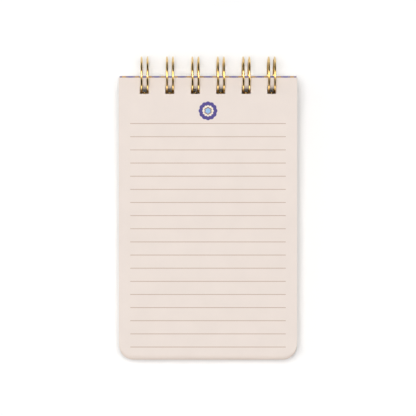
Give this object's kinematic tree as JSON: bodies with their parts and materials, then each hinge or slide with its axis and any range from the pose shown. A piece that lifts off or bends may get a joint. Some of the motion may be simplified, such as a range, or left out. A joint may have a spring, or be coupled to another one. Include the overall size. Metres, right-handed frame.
{
  "type": "pocket notebook",
  "caption": "Top-bound pocket notebook: ruled leaves and two stiff covers that turn on a gold twin-loop wire, front cover folded behind.",
  "frame": {"origin": "middle of the footprint, on the surface that the wire rests on", "axes": "+X across the page to the right, +Y up the page towards the binding, +Z out of the page"},
  "size_m": [0.0888, 0.1518, 0.0192],
  "materials": {
    "gold_wire": "gold-coloured plated steel wire, glossy",
    "printed_card": "satin print on stiff card, gold and purple pattern outside, plain cream inside",
    "cream_paper": "uncoated writing paper, matt"
  },
  "bodies": {
    "wire_and_back_cover": {"binding_wire": "gold_wire", "back_cover": "printed_card"},
    "front_cover": {"front_cover": "printed_card"},
    "leaf_group_01": {"leaf_01": "cream_paper"},
    "leaf_group_02": {"leaf_02": "cream_paper"},
    "leaf_group_03": {"leaf_03": "cream_paper"},
    "leaf_group_04": {"leaf_04": "cream_paper"},
    "leaf_group_05": {"leaf_05": "cream_paper", "leaf_06": "cream_paper", "leaf_07": "cream_paper", "leaf_08": "cream_paper"},
    "leaf_group_06": {"leaf_09": "cream_paper", "leaf_10": "cream_paper", "leaf_11": "cream_paper", "leaf_12": "cream_paper", "leaf_13": "cream_paper", "leaf_14": "cream_paper", "leaf_15": "cream_paper", "leaf_16": "cream_paper"},
    "leaf_group_07": {"leaf_17": "cream_paper", "leaf_18": "cream_paper", "leaf_19": "cream_paper", "leaf_20": "cream_paper", "leaf_21": "cream_paper", "leaf_22": "cream_paper", "leaf_23": "cream_paper", "leaf_24": "cream_paper"},
    "leaf_group_08": {"leaf_25": "cream_paper", "leaf_26": "cream_paper", "leaf_27": "cream_paper", "leaf_28": "cream_paper", "leaf_29": "cream_paper", "leaf_30": "cream_paper", "leaf_31": "cream_paper", "leaf_32": "cream_paper"},
    "leaf_group_09": {"leaf_33": "cream_paper", "leaf_34": "cream_paper", "leaf_35": "cream_paper", "leaf_36": "cream_paper", "leaf_37": "cream_paper", "leaf_38": "cream_paper", "leaf_39": "cream_paper", "leaf_40": "cream_paper"},
    "leaf_group_10": {"leaf_41": "cream_paper", "leaf_42": "cream_paper", "leaf_43": "cream_paper", "leaf_44": "cream_paper", "leaf_45": "cream_paper", "leaf_46": "cream_paper", "leaf_47": "cream_paper", "leaf_48": "cream_paper"}
  },
  "joints": [
    {"name": "front_cover_turn", "type": "hinge", "parent": "wire_and_back_cover", "child": "front_cover", "pos_m": [0, 0.06628, 0.00965], "axis": [1, 0, 0], "range_deg": [0, 200]},
    {"name": "leaf_group_10_turn", "type": "hinge", "parent": "wire_and_back_cover", "child": "leaf_group_10", "pos_m": [0, 0.06628, 0.00965], "axis": [-1, 0, 0], "range_deg": [0, 180]},
    {"name": "leaf_group_09_turn", "type": "hinge", "parent": "leaf_group_10", "child": "leaf_group_09", "pos_m": [0, 0.06628, 0.00965], "axis": [-1, 0, 0], "range_deg": [0, 180]},
    {"name": "leaf_group_08_turn", "type": "hinge", "parent": "leaf_group_09", "child": "leaf_group_08", "pos_m": [0, 0.06628, 0.00965], "axis": [-1, 0, 0], "range_deg": [0, 180]},
    {"name": "leaf_group_07_turn", "type": "hinge", "parent": "leaf_group_08", "child": "leaf_group_07", "pos_m": [0, 0.06628, 0.00965], "axis": [-1, 0, 0], "range_deg": [0, 180]},
    {"name": "leaf_group_06_turn", "type": "hinge", "parent": "leaf_group_07", "child": "leaf_group_06", "pos_m": [0, 0.06628, 0.00965], "axis": [-1, 0, 0], "range_deg": [0, 180]},
    {"name": "leaf_group_05_turn", "type": "hinge", "parent": "leaf_group_06", "child": "leaf_group_05", "pos_m": [0, 0.06628, 0.00965], "axis": [-1, 0, 0], "range_deg": [0, 180]},
    {"name": "leaf_group_04_turn", "type": "hinge", "parent": "leaf_group_05", "child": "leaf_group_04", "pos_m": [0, 0.06628, 0.00965], "axis": [-1, 0, 0], "range_deg": [0, 180]},
    {"name": "leaf_group_03_turn", "type": "hinge", "parent": "leaf_group_04", "child": "leaf_group_03", "pos_m": [0, 0.06628, 0.00965], "axis": [-1, 0, 0], "range_deg": [0, 180]},
    {"name": "leaf_group_02_turn", "type": "hinge", "parent": "leaf_group_03", "child": "leaf_group_02", "pos_m": [0, 0.06628, 0.00965], "axis": [-1, 0, 0], "range_deg": [0, 180]},
    {"name": "leaf_group_01_turn", "type": "hinge", "parent": "leaf_group_02", "child": "leaf_group_01", "pos_m": [0, 0.06628, 0.00965], "axis": [-1, 0, 0], "range_deg": [0, 180]}
  ]
}
